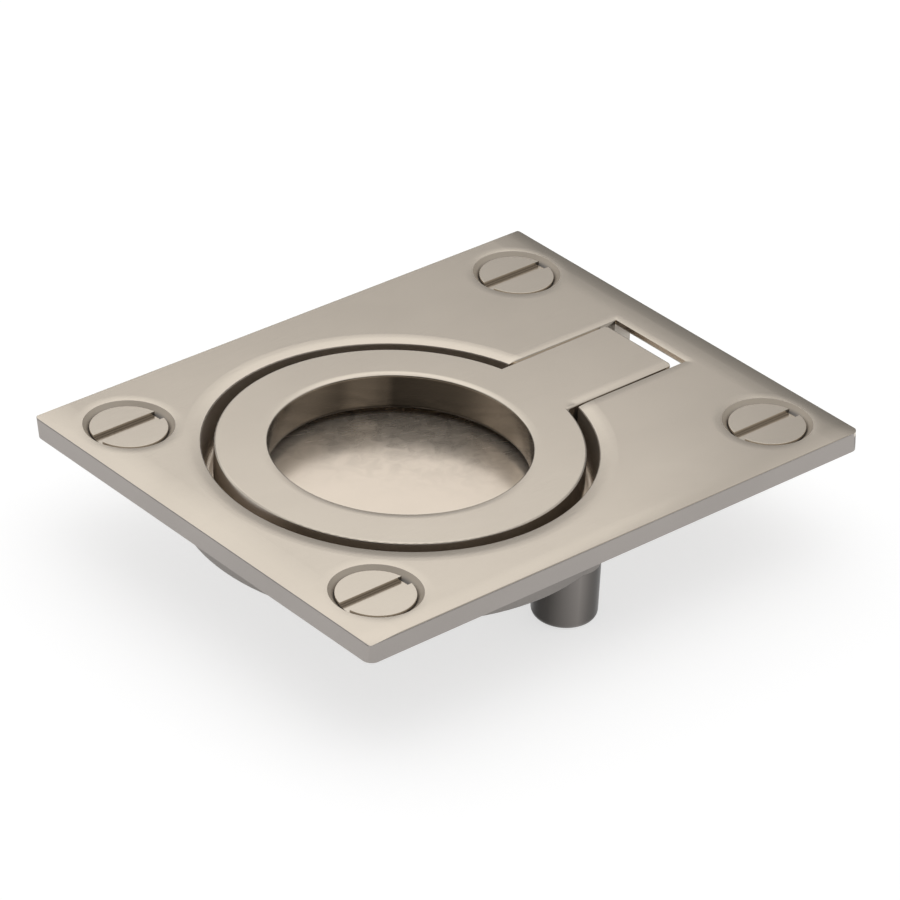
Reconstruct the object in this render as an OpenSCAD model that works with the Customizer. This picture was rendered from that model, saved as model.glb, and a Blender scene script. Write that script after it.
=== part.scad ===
// Flush ring pull: a cast plate with a shallow round cup, and a ring that lies flush in it.
// The ring lifts on a pin across the channel that its neck lies in.
// Origin: centre of the plate on its back face. +Z points out of the face that shows,
// +X towards the hinge, and everything below z = 0 is let into the door.
// Lengths are in millimetres and angles in degrees.

/* [Plate] */
// Length of the plate, along the ring's neck
plate_l = 63.5; // [60:0.5:80]
// Width of the plate
plate_w = 50.8; // [48.5:0.1:64]
// Thickness of the plate
plate_t = 2.2; // [1.9:0.1:2.8]
// Corner radius seen from above
corner_r = 1.2; // [0.5:0.1:4]
// Longest soft roll that polishing leaves at the plate's two ends
roll_w = 3.9; // [2.5:0.1:4.6]
// Height that the roll loses at the plate's end
roll_d = 0.15; // [0.05:0.05:0.25]
// Radius of the edge itself
edge_r = 0.15; // [0.1:0.05:0.3]

/* [Ring] */
// Distance of the ring's centre from the plate's centre, away from the hinge
ring_offset = 6.4; // [5.5:0.1:7.5]
// Radius of the finger hole
ring_hole_r = 13; // [11:0.1:14]
// Outer radius of the ring
ring_outer_r = 18.2; // [17.2:0.1:18.6]
// Thickness of the ring and its neck
ring_t = 3.9; // [3.4:0.1:4.4]
// Rounding of the finger hole's top edge
hole_round = 0.45; // [0.25:0.05:0.8]
// Rounding of the ring's outer top edge
ring_edge_r = 0.2; // [0.1:0.05:0.4]
// Rounding of the ring's and the neck's bottom edges
ring_foot_r = 0.4; // [0.2:0.1:0.6]
// Gap between the ring and the edge of its recess
ring_gap = 1.25; // [1:0.05:1.6]
// Width of the soft roll around the recess
rim_roll_w = 1.8; // [1:0.1:2.2]
// Height that this roll loses at the recess
rim_roll_d = 0.12; // [0.06:0.02:0.2]

/* [Neck and hinge] */
// Width of the neck
neck_w = 9.8; // [8.6:0.1:11]
// Gap on each side of the neck in its slot
neck_gap = 0.3; // [0.25:0.05:0.45]
// Rounding of the neck's long top edges
neck_round = 0.2; // [0.1:0.05:0.5]
// Corner radius of the neck's end seen from above
tip_corner_r = 0.9; // [0.4:0.1:1.5]
// Fillet where the neck joins the ring
neck_fillet = 0.6; // [0.3:0.1:0.8]
// Distance from the pin to the plate's end
hinge_inset = 8.95; // [8.8:0.05:10]
// Depth of the pin's axis below the plate's back
pin_drop = 1; // [0.95:0.05:1.2]
// Radius of the pin
pin_r = 1; // [0.8:0.05:1.1]
// Running clearance of the pin in the knuckle, on the radius
pin_clearance = 0.05; // [0.03:0.01:0.08]
// Interference of the pin in the channel walls, on the radius
pin_press = 0.01; // [0.005:0.005:0.02]
// Chamfer on the pin's ends
pin_chamfer = 0.2; // [0.1:0.05:0.3]
// Metal round the pin in the knuckle
knuckle_wall = 0.85; // [0.7:0.05:1]
// Length of neck past the pin's axis
tip_reach = 2.7; // [2.4:0.1:3]
// Thickness of the neck's end
tip_t = 2.2; // [1.8:0.1:2.8]
// Gap from the neck's end to the slot's end
tip_gap = 1.5; // [1.3:0.05:1.8]
// Gap under the neck where it lies on the channel's floor
rest_gap = 0.2; // [0.15:0.05:0.3]

/* [Housing] */
// Gap between the ring's underside and the cup's floor
floor_gap = 0.6; // [0.4:0.1:1.2]
// Thickness of the cup's floor
floor_t = 2.2; // [1.8:0.1:2.8]
// Thickness of the cup's side wall
cup_wall = 2.45; // [1.8:0.05:2.8]
// Fillet round the cup's floor
floor_fillet = 0.8; // [0.4:0.1:0.9]
// Rounding of the housing's bottom edge
foot_r = 0.5; // [0.3:0.1:1]
// Thickness of each channel wall
channel_wall = 2; // [1.6:0.1:2.8]
// Length of channel wall past the slot's end
channel_reach = 2.2; // [2.1:0.1:3]
// Corner radius at the walls' free ends
channel_end_r = 2.4; // [1:0.1:2.8]
// Thickness of the lip that is left at the slot's end
lip_t = 0.5; // [0.35:0.05:0.8]
// Reach of the undercut below the lip
undercut = 2; // [1.2:0.1:2.1]
// Gap between the knuckle and the channel's floor
knuckle_gap = 0.9; // [0.5:0.1:1.5]

/* [Face screws] */
// Distance of each screw from the plate's end
screw_end_inset = 6.35; // [5.8:0.05:7]
// Distance of each screw from the plate's side
screw_side_inset = 6.75; // [6:0.05:7.2]
// Radius of the head
head_r = 3.95; // [3.6:0.05:4.1]
// Depth of the head's top below the plate's face
head_drop = 0.25; // [0.1:0.05:0.35]
// Height of the head's straight edge
head_edge = 0.3; // [0.2:0.05:0.4]
// Rounding of the head's top edge
head_round = 0.15; // [0.05:0.01:0.18]
// Width of the driver slot
slot_w = 1.5; // [1:0.1:1.8]
// Depth of the driver slot
slot_depth = 0.45; // [0.4:0.05:0.9]
// Radius of the shank
shank_r = 1.7; // [1.5:0.05:2]
// Whole length of the screw
screw_l = 6.4; // [5:0.1:14]
// Chamfer on the shank's end
shank_chamfer = 0.5; // [0.2:0.1:0.8]
// Gap between the head and its seat
seat_gap = 0.05; // [0.03:0.01:0.1]
// Rounding of the countersink's rim
rim_round = 0.12; // [0.05:0.01:0.2]

/* [Fixing posts] */
// Distance between the two posts
post_spacing = 35.5; // [33:0.1:37]
// Radius of a post
post_r = 3.3; // [3:0.1:3.6]
// Length of a post below the housing
post_l = 6.3; // [4:0.1:20]
// Rounding of the post's end
post_round = 0.8; // [0.3:0.1:1.1]
// Metal left above the tapped hole
post_end_wall = 0.8; // [0.6:0.1:1.5]
// Radius of the tapped hole
tapped_r = 1.65; // [1.25:0.05:2]
// Countersink at the tapped hole's mouth
mouth_chamfer = 0.4; // [0.2:0.1:0.5]
// Radius of the spigot that seats the post
spigot_r = 2; // [1.5:0.1:2.4]
// Metal left between the spigot and the cup's floor
spigot_cover = 0.6; // [0.5:0.1:1]
// Interference of the spigot in its hole, on the radius
spigot_press = 0.01; // [0.005:0.005:0.02]

/* [Hidden] */
$fn = 96;
cut = 1;
deep = 40;
top_z = plate_t;
ring_x = -ring_offset;
ring_bottom = top_z - ring_t;
recess_r_ring = ring_outer_r + ring_gap;
cup_r = recess_r_ring + cup_wall;
roll_clear = 0.2;
end_roll_w = min(roll_w, plate_l / 2 - ring_offset - recess_r_ring - rim_roll_w - roll_clear);
cup_floor = ring_bottom - floor_gap;
housing_z = cup_floor - floor_t;
pin_x = plate_l / 2 - hinge_inset;
pin_z = -pin_drop;
tip_x = pin_x + tip_reach;
slot_end = tip_x + tip_gap;
knuckle_r = pin_r + pin_clearance + knuckle_wall;
slot_half = neck_w / 2 + neck_gap;
channel_half = slot_half + channel_wall;
channel_end = slot_end + channel_reach;
channel_floor = ring_bottom - rest_gap;
channel_floor_end = pin_x - knuckle_r - knuckle_gap;
neck_start = ring_x + (ring_hole_r + ring_outer_r) / 2;
screw_x = plate_l / 2 - screw_end_inset;
screw_y = plate_w / 2 - screw_side_inset;
head_top = top_z - head_drop;
post_y = post_spacing / 2;
spigot_l = floor_t - spigot_cover;
satin_nickel = [0.80, 0.76, 0.71];
soft_nickel = [0.84, 0.80, 0.75];
bright_nickel = [0.72, 0.70, 0.67];

// What a rounding takes off a corner at the origin, where the metal lies towards -x and -y.
module corner_round(r) {
    difference() {
        translate([-r, -r]) square(r + cut);
        translate([-r, -r]) circle(r);
    }
}

// What fills an inside corner at the origin, where the hollow lies towards -x and -y.
module corner_fill(r) {
    difference() {
        translate([-r, -r]) square(r);
        translate([-r, -r]) circle(r);
    }
}

// What polishing takes off a long edge at the origin: a wide shallow arc that starts level
// with the top, then a small arc that is tangent to it and to the side.
module edge_roll(w, d, r) {
    wide_r = (w * w + d * d) / (2 * d);
    small_y = sqrt(pow(wide_r - r, 2) - pow(w - r, 2)) - wide_r;
    lean = asin((w - r) / (wide_r - r));
    difference() {
        translate([-w, -d - r]) square([w + cut, d + r + cut]);
        translate([-w, -wide_r]) circle(wide_r, $fn = 360);
    }
    translate([-r, small_y]) difference() {
        polygon([[0, 0], [2 * r * sin(lean), 2 * r * cos(lean)], [cut, cut], [cut, 0]]);
        circle(r);
    }
}

// A turned disc with its top at z = 0 and a rounded bottom edge.
module footed_disc(r, h) {
    rotate_extrude() difference() {
        translate([0, -h]) square([r, h]);
        translate([r, -h]) mirror([0, 1]) corner_round(foot_r);
    }
}

// Runs a profile drawn in x and z along y, centred.
module along_y(w) {
    translate([0, w / 2, 0]) rotate([90, 0, 0]) linear_extrude(w) children();
}

// Runs a profile drawn in y and z along x, from x0 to x1.
module along_x(x0, x1) {
    translate([x0, 0, 0]) rotate([90, 0, 90]) linear_extrude(x1 - x0) children();
}

// Two copies on each side of the plane y = 0.
module both_sides() {
    children();
    mirror([0, 1, 0]) children();
}

// The plate's section along its length, which rolls off towards its two ends.
module length_section() {
    difference() {
        translate([-plate_l / 2, 0]) square([plate_l, top_z]);
        for (end = [0, 1]) {
            mirror([end, 0]) translate([plate_l / 2, top_z]) edge_roll(end_roll_w, roll_d, edge_r);
        }
    }
}

// The plate's section across its width, level with softened edges.
module width_section() {
    difference() {
        translate([-plate_w / 2, 0]) square([plate_w, top_z]);
        for (side = [0, 1]) {
            mirror([side, 0]) translate([plate_w / 2, top_z]) corner_round(edge_r);
        }
    }
}

module plate_outline() {
    difference() {
        square([plate_l, plate_w], center = true);
        for (a = [0, 1], b = [0, 1]) {
            mirror([a, 0]) mirror([0, b]) translate([plate_l / 2, plate_w / 2]) corner_round(corner_r);
        }
    }
}

module plate_slab() {
    intersection() {
        linear_extrude(top_z) plate_outline();
        along_y(plate_w + cut) length_section();
        along_x(-plate_l / 2 - cut, plate_l / 2 + cut) width_section();
    }
}

// The block under the neck, with its free end rounded where it shows from the side.
module channel_block() {
    along_y(2 * channel_half) difference() {
        translate([ring_x, housing_z]) square([channel_end - ring_x, -housing_z + top_z / 2]);
        translate([channel_end, housing_z]) mirror([0, 1]) corner_round(channel_end_r);
    }
}

// The round recess that the ring lies in, with a filleted floor and a rolled rim.
module ring_recess() {
    translate([ring_x, 0, 0]) rotate_extrude() {
        difference() {
            translate([0, cup_floor]) square([recess_r_ring, top_z - cup_floor + cut]);
            translate([recess_r_ring, cup_floor]) mirror([0, 1]) corner_fill(floor_fillet);
        }
        translate([recess_r_ring, top_z]) mirror([1, 0]) edge_roll(rim_roll_w, rim_roll_d, edge_r);
    }
}

// The neck's slot: closed by the channel's floor as far as the knuckle, open below past it,
// and undercut under a thin lip at its end so that the neck's tail can swing down.
module neck_slot() {
    along_y(2 * slot_half) polygon([
        [ring_x, channel_floor],
        [channel_floor_end, channel_floor],
        [channel_floor_end, housing_z - cut],
        [channel_end + cut, housing_z - cut],
        [channel_end + cut, 0],
        [slot_end + undercut, 0],
        [slot_end, top_z - lip_t],
        [slot_end, top_z + cut],
        [ring_x, top_z + cut]
    ]);
}

// The countersunk hole for a face screw. Its cone runs on past the head up to a softened rim.
module screw_recess() {
    mouth_r = head_r + seat_gap + head_edge + head_drop;
    rim_side = rim_round * tan(22.5);
    rim_foot = rim_side * sin(45);
    rotate_extrude() {
        polygon([
            [0, -deep],
            [shank_r, -deep],
            [shank_r, top_z - (mouth_r - shank_r)],
            [mouth_r, top_z],
            [mouth_r, top_z + cut],
            [0, top_z + cut]
        ]);
        difference() {
            polygon([
                [mouth_r - rim_foot, top_z - rim_foot],
                [mouth_r, top_z],
                [mouth_r + rim_side, top_z],
                [mouth_r + rim_side, top_z + cut],
                [mouth_r - rim_foot, top_z + cut]
            ]);
            translate([mouth_r + rim_side, top_z - rim_round]) circle(rim_round, $fn = 32);
        }
    }
}

module backplate() {
    color(satin_nickel) difference() {
        union() {
            plate_slab();
            translate([ring_x, 0, top_z / 2]) footed_disc(cup_r, top_z / 2 - housing_z);
            channel_block();
            both_sides() translate([0, post_y, housing_z]) cylinder(h = top_z / 2 - housing_z, r = post_r);
        }
        ring_recess();
        neck_slot();
        translate([pin_x, 0, pin_z]) rotate([90, 0, 0]) {
            cylinder(h = 2 * channel_half + 2 * cut, r = pin_r - pin_press, center = true);
        }
        for (a = [-1, 1], b = [-1, 1]) {
            translate([a * screw_x, b * screw_y, 0]) screw_recess();
        }
        both_sides() translate([0, post_y, housing_z - cut]) {
            cylinder(h = spigot_l + cut, r = spigot_r - spigot_press);
        }
    }
}

module ring_section() {
    w = ring_outer_r - ring_hole_r;
    difference() {
        translate([ring_hole_r, ring_bottom]) square([w, ring_t]);
        translate([ring_hole_r, top_z]) mirror([1, 0]) corner_round(hole_round);
        translate([ring_outer_r, top_z]) corner_round(ring_edge_r);
        translate([ring_hole_r, ring_bottom]) mirror([1, 0]) mirror([0, 1]) corner_round(ring_foot_r);
        translate([ring_outer_r, ring_bottom]) mirror([0, 1]) corner_round(ring_foot_r);
    }
}

module neck_outline() {
    difference() {
        translate([neck_start, -neck_w / 2]) square([tip_x - neck_start, neck_w]);
        translate([tip_x, neck_w / 2]) corner_round(tip_corner_r);
        mirror([0, 1]) translate([tip_x, neck_w / 2]) corner_round(tip_corner_r);
    }
}

// The neck's section across its width: soft edges on top, small ones below.
module neck_section() {
    difference() {
        translate([-neck_w / 2, ring_bottom]) square([neck_w, ring_t]);
        for (side = [0, 1]) {
            mirror([side, 0]) translate([neck_w / 2, top_z]) corner_round(neck_round);
            mirror([side, 0]) translate([neck_w / 2, ring_bottom]) mirror([0, 1]) corner_round(ring_foot_r);
        }
    }
}

// The neck's side view: full thickness up to the knuckle, thinner where its tail swings down.
module neck_side() {
    difference() {
        polygon([
            [neck_start, ring_bottom],
            [pin_x + knuckle_r * 0.8, ring_bottom],
            [tip_x, top_z - tip_t],
            [tip_x, top_z],
            [neck_start, top_z]
        ]);
        translate([tip_x, top_z]) corner_round(ring_edge_r);
    }
}

// Small fillet in the corner between the neck and the ring's outer edge.
module neck_corner() {
    from_ring = ring_outer_r + neck_fillet;
    from_axis = neck_w / 2 + neck_fillet;
    centre_x = sqrt(from_ring * from_ring - from_axis * from_axis);
    on_ring = ring_outer_r / from_ring;
    translate([ring_x, 0, ring_bottom + ring_foot_r]) linear_extrude(ring_t - ring_foot_r - ring_edge_r) {
        difference() {
            polygon([
                [centre_x * on_ring, from_axis * on_ring],
                [centre_x, neck_w / 2],
                [centre_x - 2 * neck_fillet, neck_w / 2 - neck_fillet],
            ]);
            translate([centre_x, from_axis]) circle(neck_fillet);
        }
    }
}

module ring_handle() {
    color(soft_nickel) difference() {
        union() {
            translate([ring_x, 0, 0]) rotate_extrude() ring_section();
            intersection() {
                translate([0, 0, ring_bottom]) linear_extrude(ring_t) neck_outline();
                along_x(neck_start, tip_x) neck_section();
                along_y(neck_w) neck_side();
            }
            both_sides() neck_corner();
            translate([pin_x, 0, pin_z]) rotate([90, 0, 0]) cylinder(h = neck_w, r = knuckle_r, center = true);
        }
        translate([pin_x, 0, pin_z]) rotate([90, 0, 0]) {
            cylinder(h = neck_w + 2 * cut, r = pin_r + pin_clearance, center = true);
        }
    }
}

module pivot_pin() {
    half = channel_half;
    color(bright_nickel) translate([pin_x, 0, pin_z]) rotate([90, 0, 0]) rotate_extrude() {
        polygon([
            [0, -half],
            [pin_r - pin_chamfer, -half],
            [pin_r, pin_chamfer - half],
            [pin_r, half - pin_chamfer],
            [pin_r - pin_chamfer, half],
            [0, half]
        ]);
    }
}

// A turned post with a spigot on top and a blind tapped hole in its rounded end.
module fixing_post(side) {
    hole_l = post_l - post_end_wall;
    color(bright_nickel) translate([0, side * post_y, housing_z]) rotate_extrude() difference() {
        union() {
            square([spigot_r, spigot_l]);
            translate([0, -post_l]) square([post_r, post_l]);
        }
        translate([post_r, -post_l]) mirror([0, 1]) corner_round(post_round);
        translate([0, -post_l]) polygon([
            [0, -cut],
            [tapped_r + mouth_chamfer, -cut],
            [tapped_r + mouth_chamfer, 0],
            [tapped_r, mouth_chamfer],
            [tapped_r, hole_l],
            [0, hole_l]
        ]);
    }
}

// A short slotted countersunk screw, its slot in line with the plate's length.
module face_screw(side_x, side_y) {
    cone_z = head_top - head_edge;
    cone_h = head_r - shank_r;
    end_z = head_top - screw_l;
    color(satin_nickel) translate([side_x * screw_x, side_y * screw_y, 0]) difference() {
        rotate_extrude() difference() {
            polygon([
                [0, end_z],
                [shank_r - shank_chamfer, end_z],
                [shank_r, end_z + shank_chamfer],
                [shank_r, cone_z - cone_h],
                [head_r, cone_z],
                [head_r, head_top],
                [0, head_top]
            ]);
            translate([head_r, head_top]) corner_round(head_round);
        }
        translate([-head_r - cut, -slot_w / 2, head_top - slot_depth]) {
            cube([2 * (head_r + cut), slot_w, slot_depth + cut]);
        }
    }
}

backplate();
ring_handle();
pivot_pin();
fixing_post(1);  // fixing_post_left
fixing_post(-1);  // fixing_post_right
face_screw(1, 1);  // screw_hinge_left
face_screw(1, -1);  // screw_hinge_right
face_screw(-1, 1);  // screw_ring_left
face_screw(-1, -1);  // screw_ring_right
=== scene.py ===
"""Looks of a flush ring pull in satin nickel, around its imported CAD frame.

Everything is in metres in the part's own frame: +Z out of the face that shows, +X towards
the hinge, and the plate's back at z = 0.
"""
import math

import bmesh
import bpy
from mathutils import Matrix, Vector


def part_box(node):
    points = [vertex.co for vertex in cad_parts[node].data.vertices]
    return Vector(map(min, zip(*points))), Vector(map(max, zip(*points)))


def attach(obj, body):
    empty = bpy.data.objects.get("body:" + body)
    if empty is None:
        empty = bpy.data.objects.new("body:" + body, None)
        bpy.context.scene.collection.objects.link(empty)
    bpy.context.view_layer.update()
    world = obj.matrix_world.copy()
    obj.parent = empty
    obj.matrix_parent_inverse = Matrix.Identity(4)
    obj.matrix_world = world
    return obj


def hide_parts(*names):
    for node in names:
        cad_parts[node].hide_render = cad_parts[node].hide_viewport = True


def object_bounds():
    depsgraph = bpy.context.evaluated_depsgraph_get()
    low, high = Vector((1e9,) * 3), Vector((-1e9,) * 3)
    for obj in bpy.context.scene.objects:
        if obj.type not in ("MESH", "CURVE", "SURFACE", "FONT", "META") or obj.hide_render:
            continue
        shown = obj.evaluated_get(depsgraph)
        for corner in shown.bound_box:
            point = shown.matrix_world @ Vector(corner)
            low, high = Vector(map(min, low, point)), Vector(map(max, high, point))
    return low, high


MM = 0.001

# The photograph's view, fitted to the plate's corners and the ring's circles.
CAMERA_AT = Vector((-279.93, -304.08, 250.4)) * MM
CAMERA_AIM = Vector((-3.39, -3.87, 2.2)) * MM
CAMERA_ROLL = math.radians(3.04)
CAMERA_LENS = 196.3
CAMERA_NEAR, CAMERA_FAR = 0.01, 20.0
SENSOR_WIDTH = 36.0

# The level directions away from the camera and to its right.
AWAY = Vector((CAMERA_AIM.x - CAMERA_AT.x, CAMERA_AIM.y - CAMERA_AT.y, 0)).normalized()
RIGHT = Vector((AWAY.y, -AWAY.x, 0))
UP = Vector((0, 0, 1))

# Nickel's own colour, and darker and lighter copies of it for what isn't brushed, which are painted shade
# and painted light.
NICKEL = (0.63, 0.561, 0.475)
# Painted shade on the plate's sides.
SIDE_SHADE_NICKEL = (0.40, 0.370, 0.347)
# Painted shade under the plate's face and on the screws' shanks below it.
UNDER_SHADE_NICKEL = (0.32, 0.298, 0.280)
# Painted shade on the wall of the ring's recess.
WALL_SHADE_NICKEL = (0.46, 0.400, 0.340)
# Painted shade on the wall of the ring's hole.
HOLE_SHADE_NICKEL = (0.33, 0.290, 0.245)
OUTSIDE_NICKEL = (0.63, 0.570, 0.500)
# Painted light in the channel beside the neck, lighter than the rest under the face.
CHANNEL_LIGHT_NICKEL = (0.52, 0.480, 0.430)
# Painted light on the cup's floor: brighter than nickel itself.
FLOOR_LIGHT_NICKEL = (0.91, 0.792, 0.660)
# Painted shade on the posts.
POST_SHADE_NICKEL = (0.25, 0.232, 0.218)
# Painted shade in the screws' slots.
SLOT_SHADE_NICKEL = (0.26, 0.225, 0.190)
STEEL = (0.56, 0.55, 0.54)
BLACK = (0.0, 0.0, 0.0)

# The ring pull's main places, which the materials change at.
PLATE_T = 2.2 * MM
PLATE_L = 63.5 * MM
PLATE_W = 50.8 * MM
RING_X = -6.4 * MM
RECESS_R = 19.45 * MM
RING_R = 18.2 * MM
RING_HOLE_R = 13.0 * MM
CUP_FLOOR = -2.3 * MM
NECK_W = 9.8 * MM
NECK_ROOT = 12.5 * MM
SLOT_HALF = 5.2 * MM
SLOT_END = 27.0 * MM
SCREW_X = 25.4 * MM
SCREW_Y = 18.65 * MM
MOUTH_R = 4.55 * MM

# The CAD's radii of the plate's corners and of the rounds of the ring's hole and the neck,
# the corners' radii as the photograph shows them, and what it leaves of the rounds.
CORNER_R = 1.2 * MM
HOLE_ROUND = 0.45 * MM
NECK_ROUND = 0.2 * MM
CORNER_SHARP = 0.3 * MM
CORNER_BLUNT = 1.0 * MM
RIGHT_CORNER_BELOW = 0.96 * MM
ROUND_KEPT = 0.3
ON_FLAT = 0.01 * MM
AT_POINT = 0.001 * MM

# The screws, as turned: the head's cone runs into a coarse thread.
HEAD_TOP = 1.95 * MM
HEAD_R = 3.95 * MM
HEAD_EDGE = 0.3 * MM
HEAD_ROUND = 0.06 * MM
SLOT_W = 1.5 * MM
SLOT_DEPTH = 0.45 * MM
SLOT_ROUND = 0.05 * MM
SHANK_R = 1.7 * MM
SHANK_ROOT_R = 1.22 * MM
SHANK_IN_HEAD = 0.2 * MM
SHANK_PLAIN = 0.3 * MM
SCREW_THREAD_START = 0.4 * MM
SCREW_POINT = 0.3 * MM
SCREW_PITCH = 1.25 * MM

# The posts, with an M4 thread in a bore of 3.3 mm.
POST_L = 6.3 * MM
POST_R = 3.3 * MM
POST_SPACING = 35.5 * MM
POST_ROUND = 0.8 * MM
POST_CAP = 0.4
TAPPED_R = 1.65 * MM
TAPPED_ROOT_R = 2.0 * MM
TAPPED_DEPTH = 5.5 * MM
TAPPED_PITCH = 0.7 * MM
MOUTH_CHAMFER = 0.4 * MM

# How finely the turned pieces are made, and the form of their threads.
LATHE_STEPS = 96
ROUND_STEPS = 6
THREAD_ROWS_A_TURN = 10
THREAD_FLANK = 2.6
THREAD_CREST = 0.15
SMOOTH_ANGLE = math.radians(35)
SLOT_EDGE_ANGLE = math.radians(50)
SLOT_ROUND_STEPS = 2
SAW_REACH = 1.5
NORMAL_WEIGHT = 100


def set_picture_look():
    """Colours go to the picture as they are, and the start scene's own objects go."""
    bpy.context.scene.view_settings.view_transform = "Standard"
    for name in ("Cube", "Light", "Camera"):
        found = bpy.data.objects.get(name)
        if found:
            bpy.data.objects.remove(found)


def place_in_scene(name, data):
    """A new object in the scene."""
    thing = bpy.data.objects.new(name, data)
    bpy.context.scene.collection.objects.link(thing)
    return thing


def make_camera():
    data = bpy.data.cameras.new("camera")
    data.lens = CAMERA_LENS
    data.sensor_width = SENSOR_WIDTH
    data.clip_start = CAMERA_NEAR
    data.clip_end = CAMERA_FAR
    camera = place_in_scene("camera", data)
    look = (CAMERA_AIM - CAMERA_AT).to_track_quat("-Z", "Y").to_matrix().to_4x4()
    camera.matrix_world = Matrix.Translation(CAMERA_AT) @ look @ Matrix.Rotation(CAMERA_ROLL, 4, "Z")
    bpy.context.scene.camera = camera


class Shader:
    """A node tree, with short ways to add nodes to it and join them."""

    def __init__(self, owner):
        owner.use_nodes = True
        self.tree = owner.node_tree

    def add(self, kind, **settings):
        node = self.tree.nodes.new("ShaderNode" + kind)
        for name, value in settings.items():
            setattr(node, name, value)
        return node

    def join(self, source, target):
        """Sets an input to a number or a colour, or joins an output to it."""
        if isinstance(source, bpy.types.NodeSocket):
            self.tree.links.new(source, target)
        elif isinstance(source, tuple):
            target.default_value = (*source, 1.0)
        else:
            target.default_value = source

    def parts(self, vector):
        """The X, Y and Z of a vector."""
        node = self.add("SeparateXYZ")
        self.join(vector, node.inputs[0])
        return tuple(node.outputs)

    def sum(self, operation, first, second=0.0, third=0.0):
        node = self.add("Math", operation=operation)
        for value, socket in zip((first, second, third), node.inputs):
            self.join(value, socket)
        return node.outputs[0]

    def product(self, first, *others):
        for other in others:
            first = self.sum("MULTIPLY", first, other)
        return first

    def total(self, first, *others):
        for other in others:
            first = self.sum("ADD", first, other)
        return first

    def length(self, first, second):
        """Length of a line from its extents along two axes."""
        squares = self.sum("MULTIPLY_ADD", first, first, self.sum("MULTIPLY", second, second))
        return self.sum("SQRT", squares)

    def over(self, value, limit):
        """How far a value is past a limit, or 0."""
        return self.sum("MAXIMUM", self.sum("SUBTRACT", value, limit), 0.0)

    def under(self, value, limit):
        """How far a value is short of a limit, or 0."""
        return self.sum("MAXIMUM", self.sum("SUBTRACT", limit, value), 0.0)

    def towards(self, x, y, side):
        """How far a place lies towards a level direction."""
        return self.sum("MULTIPLY_ADD", x, side.x, self.sum("MULTIPLY", y, side.y))

    def step(self, value, start, end):
        """0 before start, 1 past end and smooth between. The end may be the lower one."""
        node = self.add("MapRange", interpolation_type="SMOOTHSTEP")
        self.join(value, node.inputs["Value"])
        node.inputs["From Min"].default_value = start
        node.inputs["From Max"].default_value = end
        return node.outputs["Result"]

    def scale(self, value, low, high):
        """Carries 0 to 1 over to low to high."""
        node = self.add("MapRange")
        self.join(value, node.inputs["Value"])
        node.inputs["To Min"].default_value = low
        node.inputs["To Max"].default_value = high
        return node.outputs["Result"]

    def blend(self, factor, first, second):
        """A colour between two others."""
        node = self.add("Mix", data_type="RGBA")
        for value, socket in ((factor, 0), (first, 6), (second, 7)):
            self.join(value, node.inputs[socket])
        return node.outputs[2]

    def tint(self, colour, shade):
        """A colour times a grey level."""
        node = self.add("Mix", data_type="RGBA", blend_type="MULTIPLY")
        for value, socket in ((1.0, 0), (colour, 6), (shade, 7)):
            self.join(value, node.inputs[socket])
        return node.outputs[2]

    def mix(self, factor, first, second):
        """A number between two others."""
        node = self.add("Mix", data_type="FLOAT")
        for value, socket in ((factor, 0), (first, 2), (second, 3)):
            self.join(value, node.inputs[socket])
        return node.outputs[0]

    def ramp(self, value, stops):
        """Grey levels along a value: pairs of place and level."""
        node = self.add("ValToRGB")
        line = node.color_ramp.elements
        while len(line) < len(stops):
            line.new(0.5)
        for element, (place, level) in zip(line, stops):
            element.position = place
            element.color = (level, level, level, 1.0)
        self.join(value, node.inputs[0])
        return node.outputs["Color"]

    def noise(self, coords, scale, detail=2.0, distortion=0.0):
        """Noise whose cells are 1 / scale metres long in X, Y and Z."""
        spread = self.add("Mapping")
        spread.inputs["Scale"].default_value = scale
        self.join(coords, spread.inputs["Vector"])
        node = self.add("TexNoise")
        node.inputs["Scale"].default_value = 1.0
        node.inputs["Detail"].default_value = detail
        node.inputs["Distortion"].default_value = distortion
        self.join(spread.outputs[0], node.inputs["Vector"])
        return node.outputs["Fac"]


# Light that the part would meet, by the sine of its height above the floor: behind the part
# as the camera sees it, to both sides, and on the camera's own side, where the room is dark.
LIGHT_BEHIND = (
    (0.00, 0.27), (0.35, 0.32), (0.42, 0.44), (0.48, 0.60), (0.52, 0.66),
    (0.60, 0.70), (0.78, 0.92), (0.90, 1.35), (1.00, 1.40),
)
LIGHT_ASIDE = (
    (0.00, 0.50), (0.30, 0.55), (0.60, 0.60), (0.80, 0.80), (1.00, 1.30),
)
LIGHT_BEFORE = (
    (0.00, 0.05), (0.45, 0.06), (0.70, 0.15), (0.86, 0.50), (0.94, 1.10), (1.00, 1.30),
)

# Where the light passes from before to aside and from there to behind, by how far a direction
# points away from the camera.
BEFORE_TO_ASIDE = (-0.6, 0.0)
ASIDE_TO_BEHIND = (0.3, 0.75)

# What is left of the low light behind the part at its right and its left, and where: by the
# direction's height, and by how far it points to the right.
LIGHT_RIGHT, AT_RIGHT = 0.78, (-0.02, 0.10)
LIGHT_LEFT, AT_LEFT = 0.90, (-0.03, -0.12)
LOW = (0.61, 0.51)

# What a dim window behind the camera adds, and its left and right edges.
WINDOW = 0.20
WINDOW_LEFT, WINDOW_RIGHT = (0.30, 0.38), (0.74, 0.66)


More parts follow.
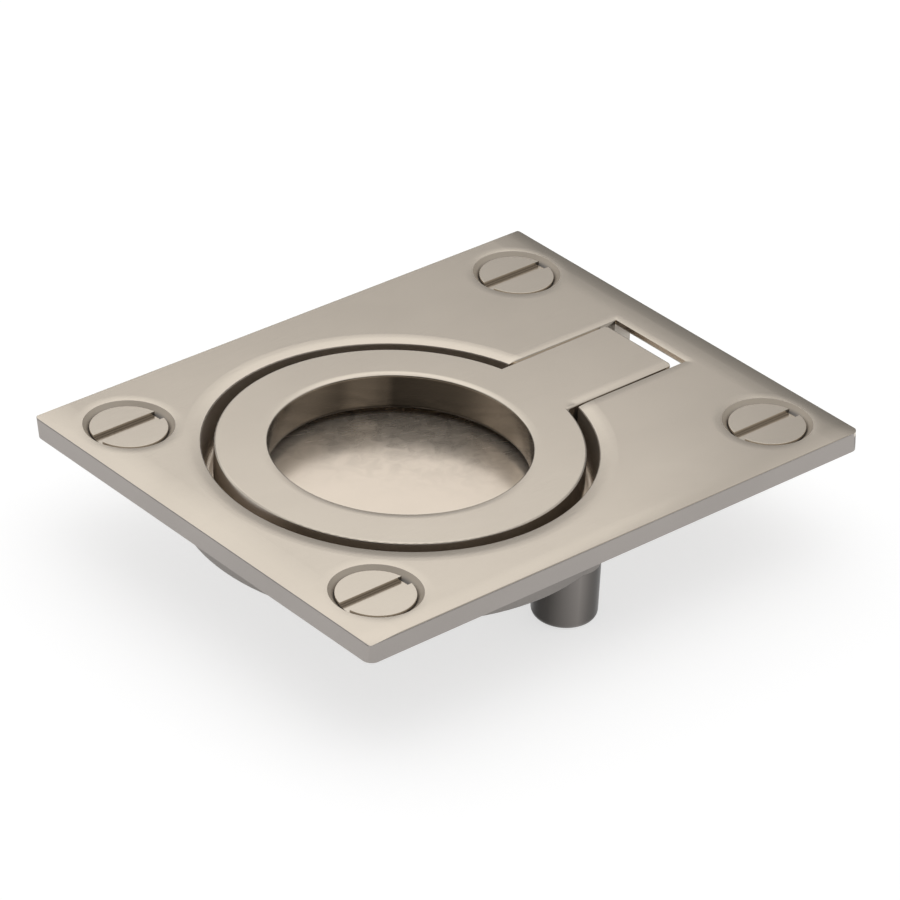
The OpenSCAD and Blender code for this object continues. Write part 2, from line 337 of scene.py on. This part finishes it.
def make_world():
    """A studio whose light grows with height and fails towards the camera."""
    world = bpy.data.worlds.new("studio")
    bpy.context.scene.world = world
    shader = Shader(world)
    x, y, height = shader.parts(shader.add("TexCoord").outputs["Generated"])
    to_back = shader.towards(x, y, AWAY)
    to_right = shader.towards(x, y, RIGHT)
    window = shader.product(shader.step(to_right, *WINDOW_LEFT), shader.step(to_right, *WINDOW_RIGHT))
    before = shader.sum("MULTIPLY_ADD", window, WINDOW, shader.ramp(height, LIGHT_BEFORE))
    low = shader.step(height, *LOW)
    right = shader.mix(shader.product(low, shader.step(to_right, *AT_RIGHT)), 1.0, LIGHT_RIGHT)
    left = shader.mix(shader.product(low, shader.step(to_right, *AT_LEFT)), 1.0, LIGHT_LEFT)
    behind = shader.product(shader.ramp(height, LIGHT_BEHIND), right, left)
    light = shader.blend(shader.step(to_back, *BEFORE_TO_ASIDE), before, shader.ramp(height, LIGHT_ASIDE))
    light = shader.blend(shader.step(to_back, *ASIDE_TO_BEHIND), light, behind)
    shader.join(light, shader.tree.nodes["Background"].inputs["Color"])


# The soft box behind the part: how high its lower edge stands, its distance, size and light.
BOX_EDGE = math.radians(31.2)
BOX_DISTANCE = 0.38
BOX_SHIFT = -0.35
BOX_W = 0.80
BOX_H = 0.13
BOX_RADIANCE = 0.47


def make_soft_box():
    """A panel that faces the part. Its lower edge lights the near half of the plate most."""
    towards = AWAY * math.cos(BOX_EDGE) + UP * math.sin(BOX_EDGE)
    rise = UP * math.cos(BOX_EDGE) - AWAY * math.sin(BOX_EDGE)
    across = towards.cross(rise)
    data = bpy.data.lights.new("soft_box", "AREA")
    data.shape = "RECTANGLE"
    data.size, data.size_y = BOX_W, BOX_H
    data.energy = BOX_RADIANCE * math.pi * BOX_W * BOX_H
    box = place_in_scene("soft_box", data)
    box.visible_camera = False
    turn = Matrix((-across, rise, -across.cross(rise))).transposed()
    centre = towards * BOX_DISTANCE + rise * BOX_H / 2 + across * BOX_SHIFT
    box.matrix_world = Matrix.Translation(centre) @ turn.to_4x4()


FLOOR_SIZE = 6.0
FLOOR_DROP = 0.02 * MM
FLOOR_WHITE = (0.55, 0.55, 0.55)
FLOOR_ROUGHNESS = 0.9
FLOOR_GLOW = 0.66


def make_floor(lowest):
    """A white floor just under the part. Its glow, for what sees it, brings it up to white."""
    bpy.ops.mesh.primitive_grid_add(x_subdivisions=1, y_subdivisions=1, size=FLOOR_SIZE)
    floor = bpy.context.object
    floor.name = "floor"
    floor.location.z = lowest - FLOOR_DROP
    material = bpy.data.materials.new("floor_white")
    shader = Shader(material)
    surface = shader.tree.nodes["Principled BSDF"]
    path = shader.add("LightPath")
    seen = shader.sum("MAXIMUM", path.outputs["Is Camera Ray"], path.outputs["Is Glossy Ray"])
    seen = shader.sum("MAXIMUM", seen, path.outputs["Is Transmission Ray"])
    for name, value in (
        ("Base Color", FLOOR_WHITE), ("Roughness", FLOOR_ROUGHNESS), ("Specular IOR Level", 0.0),
        ("Emission Color", (1.0, 1.0, 1.0)), ("Emission Strength", shader.product(seen, FLOOR_GLOW)),
    ):
        shader.join(value, surface.inputs[name])
    floor.data.materials.append(material)


class Metal(Shader):
    """A metal, with the place that each of its points has in the part's frame."""

    def __init__(self, name):
        self.material = bpy.data.materials.new(name)
        super().__init__(self.material)
        self.surface = self.tree.nodes["Principled BSDF"]
        self.place = self.add("TexCoord").outputs["Object"]
        self.x, self.y, self.z = self.parts(self.place)
        self.x_off = self.sum("ABSOLUTE", self.x)
        self.y_off = self.sum("ABSOLUTE", self.y)
        self.from_ring_x = self.sum("SUBTRACT", self.x, RING_X)
        self.radius = self.length(self.from_ring_x, self.y)
        self.set("Metallic", 1.0)

    def set(self, name, value):
        self.join(value, self.surface.inputs[name])

    def bump(self, relief, depth=1.0):
        """Gives the surface a relief: metres of height, or parts of a depth in metres."""
        node = self.add("Bump")
        node.inputs["Distance"].default_value = depth
        self.join(relief, node.inputs["Height"])
        self.set("Normal", node.outputs["Normal"])

    def rolled(self, distance, width, slope):
        """Relief of a face that falls off over a width before an edge, to a slope at the edge."""
        inside = self.under(distance, width)
        return self.product(inside, inside, -slope / (2 * width))

    def brushed(self):
        """Relief of fine lines along X."""
        return self.product(self.noise(self.place, BRUSH_LINES, detail=3.0), BRUSH_DEPTH)

    def turned(self):
        """The fine rings that a lathe leaves round an upright axis, from 0 to 1."""
        return self.noise(self.place, LATHE_RINGS)

    def clouded(self, colour, spread):
        """A colour that drifts a little lighter and darker over the surface."""
        cloud = self.noise(self.place, CLOUDS)
        return self.tint(colour, self.scale(cloud, 1.0 - spread, 1.0 + spread))


# Grain of the surfaces, as cells a metre in X, Y and Z, its depth, and the colours' drift.
BRUSH_LINES, BRUSH_DEPTH = (350.0, 9000.0, 9000.0), 0.004 * MM
LATHE_RINGS = (150.0, 150.0, 12000.0)
PIN_DEPTH, POST_DEPTH = 0.004 * MM, 0.003 * MM
CLOUDS = (90.0, 140.0, 140.0)
PLATE_DRIFT, RING_DRIFT, SCREW_DRIFT = 0.06, 0.05, 0.04
STAINS = (500.0, 500.0, 500.0)
MOTTLE, MOTTLE_STEP = (520.0, 520.0, 100.0), (0.32, 0.68)
SCRATCHES, SCRATCH_STEP = (220.0, 1500.0, 100.0), (0.35, 0.75)
SCRATCH_TURN = math.radians(20)
SCRATCH_DEPTH = 0.0007 * MM

# Roughness of each kind of surface.
BRUSHED = 0.20
CAST = 0.55
SIDES = 0.45
COUNTERSINK = 0.60
RUBBED_FLOOR = (0.24, 0.29)
RING_OUTSIDE = 0.25
RING_HOLE = 0.12
HEAD_RIM = 0.7
POST = 0.30
PIN = (0.20, 0.32)

# Where one look passes into the next: the start and the end of each step.
RECESS_SIDE = (RECESS_R + 0.10 * MM, RECESS_R + 0.05 * MM)
RECESS_DEPTH = (CUP_FLOOR - 0.3 * MM, CUP_FLOOR - 0.2 * MM)
FLOOR_TOP = (CUP_FLOOR + 0.5 * MM, CUP_FLOOR + 0.1 * MM)
PLATE_TOP = (1.5 * MM, 1.9 * MM)
PLATE_EDGE = (-0.05 * MM, -0.01 * MM)
CHANNEL_SIDE = (SLOT_HALF + 0.10 * MM, SLOT_HALF + 0.05 * MM)
CHANNEL_START = (NECK_ROOT, NECK_ROOT + 1.0 * MM)
FAR_WALL = (SLOT_HALF - 0.10 * MM, SLOT_HALF - 0.05 * MM)
FAR_WALL_END = (SLOT_END - 0.05 * MM, SLOT_END - 0.10 * MM)
COUNTERSINK_EDGE = (0.02 * MM, -0.05 * MM)
FAR_WEAR_AND_SHADE_SPAN = (-12.0 * MM, 10.0 * MM)
RING_TOP = (2.1 * MM, 1.95 * MM)
HOLE_WALL = (RING_HOLE_R + 0.5 * MM, RING_HOLE_R + 0.4 * MM)
HOLE_FOOT = (-1.1 * MM, -1.4 * MM)
OUTSIDE_WALL = (RING_R - 0.06 * MM, RING_R - 0.03 * MM)
SLOT_TOP = (HEAD_TOP - 0.04 * MM, HEAD_TOP - 0.34 * MM)
SLOT_SIDE = (SLOT_W / 2 + 0.04 * MM, SLOT_W / 2 + 0.02 * MM)
SLOT_FLOOR = (HEAD_TOP - SLOT_DEPTH, HEAD_TOP - SLOT_DEPTH + 0.06 * MM)
HEAD_SIDE = (HEAD_R - 0.08 * MM, HEAD_R)
SCREW_BELOW = (0.6 * MM, 0.0)

# How the face falls off before an edge: over which width, and to which slope at the edge.
SIDE_ROLL = (2.2 * MM, 0.09)
END_ROLL = (2.0 * MM, 0.08)
MOUTH_ROLL = (1.0 * MM, 0.06)
SLOT_ROLL = (1.0 * MM, 0.06)
NECK_ROLL = (1.3 * MM, 0.09)
HOLE_ROLL = (0.9 * MM, 1.0)

# How strong the roll into the ring's hole is, from its near side to its far side.
HOLE_ROLL_SHARES = ((0.0, 0.10), (0.50, 0.02), (0.80, 0.08), (1.0, 0.30))

# How far the slot's far wall leans, and the ring's outer wall all round and more to one side,
# so that the gaps beside them aren't black.
SLOT_LEAN = 0.55
OUTSIDE_LEAN = 0.20
LEAN_MORE = 0.38
LEAN_TOWARDS = Vector((-0.93, 0.37, 0.0))
LEAN_STEP = (0.88, 1.0)

# How much the cup's floor is darkened in mottled patches towards its far side, partly as wear and partly as
# painted shade, and how metallic it is.
WEAR_AND_SHADE_LEVEL = 0.68
FLOOR_METALLIC = 0.72

# Painted light and shade round the ring's hole: how bright its wall is painted, by its angle from -X
# through -Y, +X and +Y, and at the foot of the wall.
HOLE_PAINTED_SHADES = (
    (0.0, 0.90), (0.50, 0.95), (0.58, 0.70), (0.645, 0.45), (0.655, 1.10),
    (0.69, 1.10), (0.715, 0.65), (0.78, 0.75), (1.0, 0.90),
)
HOLE_FOOT_SHADE = 0.25

# Painted light and shade on the posts, lightest right of their middle and darkest at their flanks.
# How bright a post's metal is across it, from its left to its right as the photo shows it.
POST_PAINTED_SHADES = ((0.0, 0.12), (0.25, 0.30), (0.45, 0.62), (0.70, 0.95), (0.85, 0.54), (1.0, 0.20))


def past_plate_edge(metal):
    """1 on the plate's sides, where its corners are as sharp as the photo shows them."""
    corner_r = metal.sum("MULTIPLY_ADD", metal.z, (CORNER_SHARP - CORNER_BLUNT) / PLATE_T, CORNER_BLUNT)
    reach = metal.length(
        metal.over(metal.x_off, metal.sum("SUBTRACT", PLATE_L / 2, corner_r)),
        metal.over(metal.y_off, metal.sum("SUBTRACT", PLATE_W / 2, corner_r)),
    )
    return metal.step(metal.sum("SUBTRACT", reach, corner_r), *PLATE_EDGE)


def plate_colour(metal, on_top, in_recess, on_floor, in_channel, past_edge, far_floor_wear_and_shade):
    mottle = metal.step(metal.noise(metal.place, MOTTLE, detail=6.0, distortion=0.8), *MOTTLE_STEP)
    # Mottled darkening towards the floor's far side: wear, and painted shade.
    wear_and_shade = metal.product(far_floor_wear_and_shade, metal.sum("SUBTRACT", 1.0, mottle))
    worn_and_shaded_nickel = tuple(WEAR_AND_SHADE_LEVEL * part for part in FLOOR_LIGHT_NICKEL)
    # Painted shade under the face, and painted light in the channel beside the neck.
    colour = metal.blend(on_top, metal.blend(in_channel, UNDER_SHADE_NICKEL, CHANNEL_LIGHT_NICKEL), NICKEL)
    # Painted shade on the recess's wall.
    colour = metal.blend(in_recess, colour, WALL_SHADE_NICKEL)
    # The cup's floor is painted lighter as painted light, and darker towards its far side.
    colour = metal.blend(on_floor, colour, metal.blend(wear_and_shade, FLOOR_LIGHT_NICKEL, worn_and_shaded_nickel))
    # The plate's sides take painted shade.
    return metal.clouded(metal.blend(past_edge, colour, SIDE_SHADE_NICKEL), PLATE_DRIFT)


def plate_relief(metal, to_screw, in_channel, on_floor, scratches):
    """Brushed, rolled before the edges that the photo shows soft, and scratched in the cup."""
    to_slot = metal.length(
        metal.over(metal.y_off, SLOT_HALF),
        metal.total(metal.over(metal.x, SLOT_END), metal.under(metal.x, NECK_ROOT)),
    )
    far_wall = metal.product(in_channel, metal.step(metal.y, *FAR_WALL), metal.step(metal.x, *FAR_WALL_END))
    return metal.total(
        metal.brushed(),
        metal.rolled(metal.sum("ADD", metal.y, PLATE_W / 2), *SIDE_ROLL),
        metal.rolled(metal.under(metal.x, PLATE_L / 2), *END_ROLL),
        metal.rolled(metal.over(to_screw, 0.0), *MOUTH_ROLL),
        metal.rolled(to_slot, *SLOT_ROLL),
        metal.product(on_floor, scratches, -SCRATCH_DEPTH),
        metal.product(far_wall, metal.under(metal.z, PLATE_T), SLOT_LEAN),
    )


def plate_nickel():
    """Brushed along its length on top, scratched in the cup, and cast and rough elsewhere, with painted
    light and shade.
    """
    metal = Metal("plate_nickel")
    in_recess = metal.product(metal.step(metal.radius, *RECESS_SIDE), metal.step(metal.z, *RECESS_DEPTH))
    on_floor = metal.product(in_recess, metal.step(metal.z, *FLOOR_TOP))
    on_top = metal.product(metal.step(metal.z, *PLATE_TOP), metal.sum("SUBTRACT", 1.0, in_recess))
    in_channel = metal.product(metal.step(metal.y_off, *CHANNEL_SIDE), metal.step(metal.x, *CHANNEL_START))
    past_edge = past_plate_edge(metal)
    to_screw = metal.sum("SUBTRACT", metal.length(
        metal.sum("SUBTRACT", metal.x_off, SCREW_X), metal.sum("SUBTRACT", metal.y_off, SCREW_Y)
    ), MOUTH_R)
    # Towards the floor's far side, where it is scratched and where wear and painted shade darken it.
    far_floor_wear_and_shade = metal.step(metal.total(metal.x, metal.y), *FAR_WEAR_AND_SHADE_SPAN)
    turned = metal.add("Mapping")
    turned.inputs["Rotation"].default_value = (0.0, 0.0, SCRATCH_TURN)
    metal.join(metal.place, turned.inputs["Vector"])
    scratches = metal.noise(turned.outputs[0], SCRATCHES, detail=3.0, distortion=1.2)
    scratches = metal.product(metal.step(scratches, *SCRATCH_STEP), far_floor_wear_and_shade)

    metal.set("Base Color", plate_colour(metal, on_top, in_recess, on_floor, in_channel, past_edge, far_floor_wear_and_shade))
    metal.set("Metallic", metal.mix(on_floor, 1.0, FLOOR_METALLIC))
    rough = metal.mix(on_top, CAST, BRUSHED)
    rough = metal.mix(in_recess, rough, CAST)
    rough = metal.mix(on_floor, rough, metal.scale(scratches, *RUBBED_FLOOR))
    rough = metal.mix(past_edge, rough, SIDES)
    metal.set("Roughness", metal.mix(metal.step(to_screw, *COUNTERSINK_EDGE), rough, COUNTERSINK))
    metal.bump(plate_relief(metal, to_screw, in_channel, on_floor, scratches))
    return metal.material


def ring_side(metal, side):
    """1 where the ring faces a side, 0.5 square to it and 0 where it faces away from it."""
    reach = metal.towards(metal.from_ring_x, metal.y, side)
    return metal.sum("MULTIPLY_ADD", metal.sum("DIVIDE", reach, metal.radius), 0.5, 0.5)


def ring_relief(metal):
    """Brushed, rolled at the neck's near side and into the hole, and leaning outside."""
    to_neck_side = metal.length(metal.over(metal.y, -NECK_W / 2), metal.under(metal.x, NECK_ROOT))
    into_hole = metal.rolled(metal.over(metal.radius, RING_HOLE_R), *HOLE_ROLL)
    steep = metal.ramp(ring_side(metal, AWAY), HOLE_ROLL_SHARES)
    more = metal.step(ring_side(metal, LEAN_TOWARDS), *LEAN_STEP)
    lean = metal.scale(more, OUTSIDE_LEAN, OUTSIDE_LEAN + LEAN_MORE)
    on_wall = metal.step(metal.radius, *OUTSIDE_WALL)
    return metal.total(
        metal.brushed(),
        metal.rolled(to_neck_side, *NECK_ROLL),
        metal.product(into_hole, steep),
        metal.product(on_wall, lean, metal.under(metal.z, PLATE_T)),
    )


def ring_nickel():
    """Brushed like the plate on top, and darker round its walls, with painted light and shade in its hole.
    """
    metal = Metal("ring_nickel")
    below = metal.step(metal.z, *RING_TOP)
    in_hole = metal.product(metal.step(metal.radius, *HOLE_WALL), below)
    # Painted light and shade on the hole's wall: by angle, and darker towards its foot.
    turn = metal.sum("ARCTAN2", metal.y, metal.from_ring_x)
    shade = metal.ramp(metal.sum("MULTIPLY_ADD", turn, 0.5 / math.pi, 0.5), HOLE_PAINTED_SHADES)
    shade = metal.product(shade, metal.scale(metal.step(metal.z, *HOLE_FOOT), 1.0, HOLE_FOOT_SHADE))
    walls = metal.blend(in_hole, OUTSIDE_NICKEL, metal.blend(shade, BLACK, HOLE_SHADE_NICKEL))
    metal.set("Base Color", metal.clouded(metal.blend(below, NICKEL, walls), RING_DRIFT))
    metal.set("Roughness", metal.mix(in_hole, metal.mix(below, BRUSHED, RING_OUTSIDE), RING_HOLE))
    metal.bump(ring_relief(metal))
    return metal.material


def pin_steel():
    """Drawn and turned, with faint stains."""
    metal = Metal("pin_steel")
    metal.set("Base Color", STEEL)
    metal.set("Roughness", metal.scale(metal.noise(metal.place, STAINS), *PIN))
    metal.bump(metal.turned(), PIN_DEPTH)
    return metal.material


def screw_nickel():
    """Turned, with heads brushed like the plate, dull round the edge, and with painted shade in the slot
    and below the face.
    """
    metal = Metal("screw_nickel")
    along = metal.sum("SUBTRACT", metal.x_off, SCREW_X)
    across = metal.sum("SUBTRACT", metal.y_off, SCREW_Y)
    in_slot = metal.product(
        metal.step(metal.z, *SLOT_TOP), metal.step(metal.sum("ABSOLUTE", across), *SLOT_SIDE),
        metal.step(metal.z, *SLOT_FLOOR),
    )
    # Painted shade in the slot.
    colour = metal.blend(in_slot, NICKEL, SLOT_SHADE_NICKEL)
    # Painted shade on the shank below the plate's face.
    colour = metal.blend(metal.step(metal.z, *SCREW_BELOW), colour, UNDER_SHADE_NICKEL)
    metal.set("Base Color", metal.clouded(colour, SCREW_DRIFT))
    at_rim = metal.step(metal.length(along, across), *HEAD_SIDE)
    metal.set("Roughness", metal.mix(at_rim, BRUSHED, HEAD_RIM))
    metal.bump(metal.brushed())
    return metal.material


def post_nickel():
    """Turned, dark with painted shade, and darker on its flanks."""
    metal = Metal("post_nickel")
    from_axis = metal.sum("SUBTRACT", metal.y_off, POST_SPACING / 2)
    across = metal.towards(metal.x, from_axis, Vector((RIGHT.x, -RIGHT.y, 0)))
    across = metal.sum("MULTIPLY_ADD", across, 0.5 / POST_R, 0.5)
    # Painted light and shade across the post, by how it faces the camera.
    metal.set("Base Color", metal.tint(POST_SHADE_NICKEL, metal.ramp(across, POST_PAINTED_SHADES)))
    metal.set("Roughness", POST)
    metal.bump(metal.turned(), POST_DEPTH)
    return metal.material


def lathe_row(radii, z, centre):
    """A row of points round an upright axis, each at its own radius."""
    turn = 2 * math.pi / LATHE_STEPS
    return [
        Vector((centre.x + r * math.cos(i * turn), centre.y + r * math.sin(i * turn), z))
        for i, r in enumerate(radii)
    ]


def circle(radius, z, centre):
    return lathe_row([radius] * LATHE_STEPS, z, centre)


def thread_rows(low_r, high_r, pitch, start, end, centre):
    """Rows of points down a V thread, which fades out at both of its ends."""
    count = round(abs(end - start) / pitch * THREAD_ROWS_A_TURN)
    rows = []
    for row in range(count + 1):
        z = start + (end - start) * row / count
        fade = min(1.0, abs(z - start) / pitch, abs(z - end) / pitch)
        radii = []
        for i in range(LATHE_STEPS):
            phase = (z / pitch + i / LATHE_STEPS) % 1.0
            depth = min(1.0, max(0.0, THREAD_FLANK * abs(phase - 0.5) - THREAD_CREST))
            radii.append(low_r + (high_r - low_r) * (1 - depth) * fade)
        rows.append(lathe_row(radii, z, centre))
    return rows


def rounded_edge(radius, z, upward, r, centre):
    """Rows round an edge of radius r: from the flat at z to the wall at radius."""
    rows = []
    for i in range(ROUND_STEPS + 1):
        angle = math.pi / 2 * i / ROUND_STEPS
        rows.append(circle(
            radius - r * (1 - math.sin(angle)), z - upward * r * (1 - math.cos(angle)), centre
        ))
    return rows


def skinned(name, rows):
    """A closed mesh through rows of points, its ends capped."""
    form = bmesh.new()
    made = [[form.verts.new(point) for point in row] for row in rows]
    for upper, lower in zip(made, made[1:]):
        for i in range(LATHE_STEPS):
            j = (i + 1) % LATHE_STEPS
            form.faces.new((upper[i], upper[j], lower[j], lower[i]))
    form.faces.new(made[0])
    form.faces.new(made[-1])
    bmesh.ops.recalc_face_normals(form, faces=form.faces)
    mesh = bpy.data.meshes.new(name)
    form.to_mesh(mesh)
    form.free()
    return place_in_scene(name, mesh)


def apply_modifiers(thing):
    graph = bpy.context.evaluated_depsgraph_get()
    thing.data = bpy.data.meshes.new_from_object(thing.evaluated_get(graph))
    thing.modifiers.clear()


def settle(thing):
    """Applies the modifiers of a piece and smooths it, but for its sharp edges."""
    apply_modifiers(thing)
    mesh = thing.data
    mesh.polygons.foreach_set("use_smooth", [True] * len(mesh.polygons))
    mesh.set_sharp_from_angle(angle=SMOOTH_ANGLE)
    even = thing.modifiers.new("even", "WEIGHTED_NORMAL")
    even.keep_sharp = True
    even.weight = NORMAL_WEIGHT
    apply_modifiers(thing)


def cut_slot(head, centre, top, radius):
    """Saws the slot along X and breaks its edges."""
    bpy.ops.mesh.primitive_cube_add(size=1.0, location=(centre.x, centre.y, top))
    saw = bpy.context.object
    saw.scale = (2 * SAW_REACH * radius, SLOT_W, 2 * SLOT_DEPTH)
    cut = head.modifiers.new("slot", "BOOLEAN")
    cut.operation = "DIFFERENCE"
    cut.object = saw
    broken = head.modifiers.new("edges", "BEVEL")
    broken.width = SLOT_ROUND
    broken.segments = SLOT_ROUND_STEPS
    broken.limit_method = "ANGLE"
    broken.angle_limit = SLOT_EDGE_ANGLE
    settle(head)
    bpy.data.objects.remove(saw)


def make_screw(node_name, material):
    """A slotted countersunk screw with its thread, in the place of the plain one."""
    low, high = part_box(node_name)
    centre = (low + high) / 2
    head_r = (high.x - low.x) / 2
    neck_z = high.z - HEAD_EDGE - (head_r - SHANK_R)
    rows = rounded_edge(head_r, high.z, 1, HEAD_ROUND, centre)
    rows.append(circle(head_r, high.z - HEAD_EDGE, centre))
    rows.append(circle(SHANK_R, neck_z, centre))
    head = skinned(node_name + "_head", rows)
    cut_slot(head, centre, high.z, head_r)
    rows = [circle(SHANK_R, neck_z + SHANK_IN_HEAD, centre), circle(SHANK_R, neck_z - SHANK_PLAIN, centre)]
    rows += thread_rows(
        SHANK_ROOT_R, SHANK_R, SCREW_PITCH, neck_z - SCREW_THREAD_START, low.z + SCREW_POINT, centre
    )
    rows.append(circle(SHANK_ROOT_R - SCREW_POINT, low.z, centre))
    shank = skinned(node_name + "_thread", rows)
    settle(shank)
    for piece in (head, shank):
        piece.data.materials.append(material)
        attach(piece, "housing")
        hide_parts(node_name)


def make_post(node_name, material):
    """A turned post with its tapped hole, in the place of the plain one."""
    low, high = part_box(node_name)
    centre = (low + high) / 2
    radius = (high.x - low.x) / 2
    top, end = low.z + POST_L, low.z
    rows = [circle(POST_CAP * radius, top, centre), circle(radius, top, centre)]
    rows += reversed(rounded_edge(radius, end, -1, POST_ROUND, centre))
    rows.append(circle(TAPPED_R + MOUTH_CHAMFER, end, centre))
    rows += thread_rows(
        TAPPED_R, TAPPED_ROOT_R, TAPPED_PITCH, end + MOUTH_CHAMFER / 2, end + TAPPED_DEPTH, centre
    )
    post = skinned(node_name + "_turned", rows)
    settle(post)
    post.data.materials.append(material)
    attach(post, "housing")
    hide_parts(node_name)


def sharpen_corner(at):
    """Moves a point of the plate's outline to its corner's own radius above and below."""
    half_l, half_w = PLATE_L / 2, PLATE_W / 2
    along = abs(at.x) - (half_l - CORNER_R)
    across = abs(at.y) - (half_w - CORNER_R)
    if min(along, across) < -AT_POINT:
        return
    below, above = (RIGHT_CORNER_BELOW, CORNER_R) if at.x > 0 > at.y else (CORNER_BLUNT, CORNER_SHARP)
    new_r = below + (above - below) * at.z / PLATE_T
    drawn = math.hypot(along, across)
    reach = max(0.0, new_r - (CORNER_R - drawn)) / max(drawn, AT_POINT)
    at.x = math.copysign(half_l - new_r + along * reach, at.x)
    at.y = math.copysign(half_w - new_r + across * reach, at.y)


def sharpen_ring(at):
    """Moves a point of the hole's round or of the neck's rounds nearer to the edge."""
    depth = PLATE_T - at.z
    out = math.hypot(at.x - RING_X, at.y)
    beside_neck = NECK_W / 2 - abs(at.y)
    if depth < HOLE_ROUND + ON_FLAT and out < RING_HOLE_R + HOLE_ROUND + ON_FLAT:
        new_out = RING_HOLE_R + (out - RING_HOLE_R) * ROUND_KEPT
        at.x = RING_X + (at.x - RING_X) * new_out / out
        at.y *= new_out / out
        at.z = PLATE_T - depth * ROUND_KEPT
    elif at.x > NECK_ROOT and max(beside_neck, depth) < NECK_ROUND + ON_FLAT:
        at.y = math.copysign(NECK_W / 2 - beside_neck * ROUND_KEPT, at.y)
        at.z = PLATE_T - depth * ROUND_KEPT


def recast(node_name, body, material, move):
    """Puts a copy of a CAD piece, with some of its points moved, in the piece's place."""
    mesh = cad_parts[node_name].data.copy()
    normals = [tuple(corner.vector) for corner in mesh.corner_normals]
    for vertex in mesh.vertices:
        move(vertex.co)
    mesh.normals_split_custom_set(normals)
    mesh.materials.clear()
    mesh.materials.append(material)
    piece = place_in_scene(node_name + "_cast", mesh)
    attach(piece, body)
    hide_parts(node_name)


def dress(node_name, material):
    """Gives a CAD node its material."""
    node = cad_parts[node_name]
    node.data.materials.clear()
    node.data.materials.append(material)


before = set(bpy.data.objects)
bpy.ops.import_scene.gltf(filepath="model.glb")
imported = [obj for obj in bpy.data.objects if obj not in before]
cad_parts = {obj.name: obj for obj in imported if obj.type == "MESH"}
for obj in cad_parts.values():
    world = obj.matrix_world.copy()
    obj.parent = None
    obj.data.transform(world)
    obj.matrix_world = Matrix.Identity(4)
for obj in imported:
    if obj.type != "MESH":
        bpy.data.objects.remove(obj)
cad_low, cad_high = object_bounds()
set_picture_look()
make_camera()
make_world()
make_soft_box()
make_floor(cad_low.z)

recast("backplate", "housing", plate_nickel(), sharpen_corner)
recast("ring_handle", "ring", ring_nickel(), sharpen_ring)
dress("pivot_pin", pin_steel())
screw_metal = screw_nickel()
post_metal = post_nickel()
for end in ("hinge", "ring"):
    for side in ("left", "right"):
        make_screw(f"screw_{end}_{side}", screw_metal)
for side in ("left", "right"):
    make_post(f"fixing_post_{side}", post_metal)
